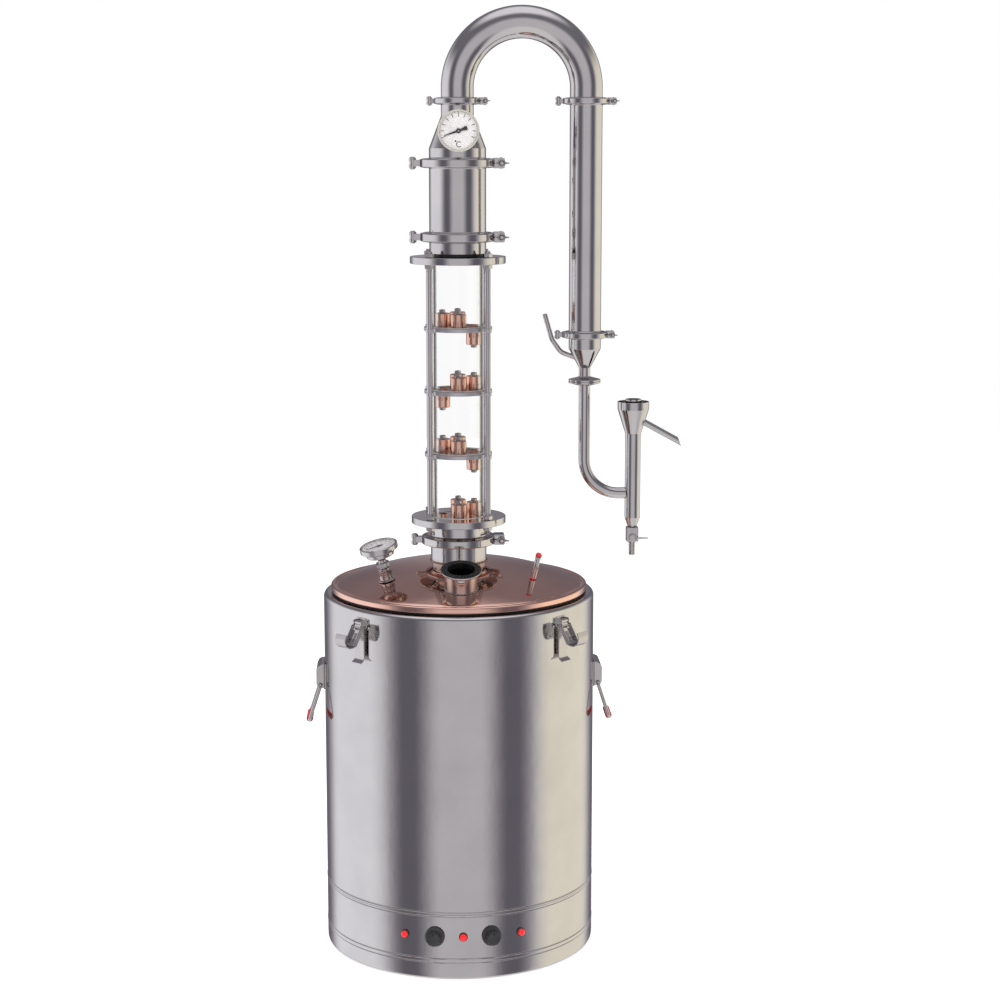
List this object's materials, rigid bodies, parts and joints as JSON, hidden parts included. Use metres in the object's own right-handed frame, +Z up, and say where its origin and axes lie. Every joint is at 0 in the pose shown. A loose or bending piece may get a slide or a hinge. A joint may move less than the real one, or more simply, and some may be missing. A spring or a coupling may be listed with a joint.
{
  "type": "column still",
  "caption": "Free-standing electric column still: round boiler with a domed lid, glass bubble-plate column, gooseneck, straight condenser and overflow parrot with a drain valve.",
  "frame": {"origin": "middle of the boiler's flat underside", "axes": "+Z up along the boiler and column axis, -Y to the front with the knobs and the dial, +X towards the condenser"},
  "size_m": [0.6013, 0.4467, 1.4884],
  "materials": {
    "polished_steel": "mirror polished stainless",
    "brushed_steel": "satin stainless",
    "copper": "polished copper",
    "glass": "clear borosilicate glass",
    "black_plastic": "moulded",
    "red_plastic": "glossy, translucent lens",
    "red_silicone": "silicone sleeve",
    "rubber": "seal",
    "dial_white": "white enamel dial"
  },
  "bodies": {
    "boiler": {"boiler_vessel": "polished_steel", "base_pan": "polished_steel", "heating_element": "brushed_steel", "pilot_lamp_left": "red_plastic", "pilot_lamp_center": "red_plastic", "pilot_lamp_right": "red_plastic"},
    "lid": {"lid_dome": "copper", "lid_gasket": "rubber", "lid_collar": "polished_steel", "filler_neck": "polished_steel", "lid_thermometer": "brushed_steel", "relief_tube": "brushed_steel", "column_base": "polished_steel", "glass_section_1": "glass", "glass_section_2": "glass", "glass_section_3": "glass", "glass_section_4": "glass", "bubble_plate_1": "copper", "bubble_plate_2": "copper", "bubble_plate_3": "copper", "column_top_flange": "polished_steel", "tie_rod_front_left": "brushed_steel", "tie_rod_front_right": "brushed_steel", "tie_rod_back_left": "brushed_steel", "tie_rod_back_right": "brushed_steel", "dephlegmator": "polished_steel", "head_reducer": "polished_steel", "head_thermometer": "brushed_steel", "clamp_ring_collar": "brushed_steel", "clamp_ring_column": "brushed_steel", "clamp_ring_head": "brushed_steel", "clamp_ring_neck": "brushed_steel"},
    "gooseneck": {"gooseneck": "polished_steel", "condenser": "polished_steel", "condenser_outlet": "polished_steel", "clamp_ring_condenser": "brushed_steel", "clamp_ring_outlet": "brushed_steel"},
    "parrot": {"parrot": "polished_steel", "drain_valve": "brushed_steel"},
    "power_knob_left": {"power_knob_left": "black_plastic"},
    "power_knob_right": {"power_knob_right": "black_plastic"},
    "carry_handle_left": {"carry_handle_left": "brushed_steel"},
    "carry_handle_right": {"carry_handle_right": "brushed_steel"},
    "latch_lever_front_left": {"latch_lever_front_left": "brushed_steel"},
    "latch_claw_front_left": {"latch_claw_front_left": "brushed_steel"},
    "latch_lever_front_right": {"latch_lever_front_right": "brushed_steel"},
    "latch_claw_front_right": {"latch_claw_front_right": "brushed_steel"},
    "latch_lever_back_left": {"latch_lever_back_left": "brushed_steel"},
    "latch_claw_back_left": {"latch_claw_back_left": "brushed_steel"},
    "latch_lever_back_right": {"latch_lever_back_right": "brushed_steel"},
    "latch_claw_back_right": {"latch_claw_back_right": "brushed_steel"},
    "relief_plug": {"relief_plug": "red_plastic"},
    "thermometer_pointer": {"thermometer_pointer": "black_plastic"},
    "clamp_bolt_collar": {"clamp_bolt_collar": "brushed_steel"},
    "clamp_bolt_column": {"clamp_bolt_column": "brushed_steel"},
    "clamp_bolt_head": {"clamp_bolt_head": "brushed_steel"},
    "clamp_bolt_neck": {"clamp_bolt_neck": "brushed_steel"},
    "clamp_bolt_condenser": {"clamp_bolt_condenser": "brushed_steel"},
    "clamp_bolt_outlet": {"clamp_bolt_outlet": "brushed_steel"},
    "drain_valve_lever": {"drain_valve_lever": "brushed_steel"}
  },
  "joints": [
    {"name": "power_knob_left_turn", "type": "hinge", "parent": "boiler", "child": "power_knob_left", "pos_m": [-0.04386, -0.21181, 0.069], "axis": [0.2028, 0.9792, 0], "range_deg": [0, 270]},
    {"name": "power_knob_right_turn", "type": "hinge", "parent": "boiler", "child": "power_knob_right", "pos_m": [0.04386, -0.21181, 0.069], "axis": [-0.2028, 0.9792, 0], "range_deg": [0, 270]},
    {"name": "carry_handle_left_swing", "type": "hinge", "parent": "boiler", "child": "carry_handle_left", "pos_m": [-0.222, 0, 0.424], "axis": [0, 1, 0], "range_deg": [-15, 70]},
    {"name": "carry_handle_right_swing", "type": "hinge", "parent": "boiler", "child": "carry_handle_right", "pos_m": [0.222, 0, 0.424], "axis": [0, -1, 0], "range_deg": [-15, 70]},
    {"name": "latch_lever_front_left_lift", "type": "hinge", "parent": "boiler", "child": "latch_lever_front_left", "pos_m": [-0.15698, -0.15698, 0.554], "axis": [-0.7071, 0.7071, 0], "range_deg": [0, 115]},
    {"name": "latch_claw_front_left_flip", "type": "hinge", "parent": "latch_lever_front_left", "child": "latch_claw_front_left", "pos_m": [-0.1591, -0.1591, 0.547], "axis": [0.7071, -0.7071, 0], "range_deg": [-120, 0]},
    {"name": "latch_lever_front_right_lift", "type": "hinge", "parent": "boiler", "child": "latch_lever_front_right", "pos_m": [0.15698, -0.15698, 0.554], "axis": [-0.7071, -0.7071, 0], "range_deg": [0, 115]},
    {"name": "latch_claw_front_right_flip", "type": "hinge", "parent": "latch_lever_front_right", "child": "latch_claw_front_right", "pos_m": [0.1591, -0.1591, 0.547], "axis": [0.7071, 0.7071, 0], "range_deg": [-120, 0]},
    {"name": "latch_lever_back_left_lift", "type": "hinge", "parent": "boiler", "child": "latch_lever_back_left", "pos_m": [-0.15698, 0.15698, 0.554], "axis": [0.7071, 0.7071, 0], "range_deg": [0, 115]},
    {"name": "latch_claw_back_left_flip", "type": "hinge", "parent": "latch_lever_back_left", "child": "latch_claw_back_left", "pos_m": [-0.1591, 0.1591, 0.547], "axis": [-0.7071, -0.7071, 0], "range_deg": [-120, 0]},
    {"name": "latch_lever_back_right_lift", "type": "hinge", "parent": "boiler", "child": "latch_lever_back_right", "pos_m": [0.15698, 0.15698, 0.554], "axis": [0.7071, -0.7071, 0], "range_deg": [0, 115]},
    {"name": "latch_claw_back_right_flip", "type": "hinge", "parent": "latch_lever_back_right", "child": "latch_claw_back_right", "pos_m": [0.1591, 0.1591, 0.547], "axis": [-0.7071, 0.7071, 0], "range_deg": [-120, 0]},
    {"name": "lid_lift", "type": "slide", "parent": "boiler", "child": "lid", "axis": [0, 0, 1], "range_m": [0, 0.15]},
    {"name": "relief_plug_pop", "type": "slide", "parent": "lid", "child": "relief_plug", "axis": [0.22, -0.1484, 0.9641], "range_m": [0, 0.008]},
    {"name": "thermometer_pointer_turn", "type": "hinge", "parent": "lid", "child": "thermometer_pointer", "pos_m": [0, -0.0692, 1.297], "axis": [0, 1, 0], "range_deg": [-4, 222]},
    {"name": "clamp_bolt_collar_swing", "type": "hinge", "parent": "lid", "child": "clamp_bolt_collar", "pos_m": [0.068, 0.009, 0.6545], "axis": [0, 0, 1], "range_deg": [0, 100]},
    {"name": "clamp_bolt_column_swing", "type": "hinge", "parent": "lid", "child": "clamp_bolt_column", "pos_m": [0.068, 0.009, 1.1338], "axis": [0, 0, 1], "range_deg": [0, 100]},
    {"name": "clamp_bolt_head_swing", "type": "hinge", "parent": "lid", "child": "clamp_bolt_head", "pos_m": [0.068, 0.009, 1.2479], "axis": [0, 0, 1], "range_deg": [0, 100]},
    {"name": "clamp_bolt_neck_swing", "type": "hinge", "parent": "lid", "child": "clamp_bolt_neck", "pos_m": [0.043, 0.006, 1.3428], "axis": [0, 0, 1], "range_deg": [0, 100]},
    {"name": "clamp_bolt_condenser_swing", "type": "hinge", "parent": "gooseneck", "child": "clamp_bolt_condenser", "pos_m": [0.243, 0.006, 1.3428], "axis": [0, 0, 1], "range_deg": [0, 100]},
    {"name": "clamp_bolt_outlet_swing", "type": "hinge", "parent": "gooseneck", "child": "clamp_bolt_outlet", "pos_m": [0.243, 0.006, 0.9805], "axis": [0, 0, 1], "range_deg": [0, 100]},
    {"name": "gooseneck_swivel", "type": "hinge", "parent": "lid", "child": "gooseneck", "pos_m": [0, 0, 1.3428], "axis": [0, 0, 1], "continuous": true},
    {"name": "parrot_swivel", "type": "hinge", "parent": "gooseneck", "child": "parrot", "pos_m": [0.2, 0, 0.907], "axis": [0, 0, 1], "range_deg": [-90, 90]},
    {"name": "drain_valve_turn", "type": "hinge", "parent": "parrot", "child": "drain_valve_lever", "pos_m": [0.278, -0.0138, 0.656], "axis": [0, 1, 0], "range_deg": [0, 90]}
  ]
}
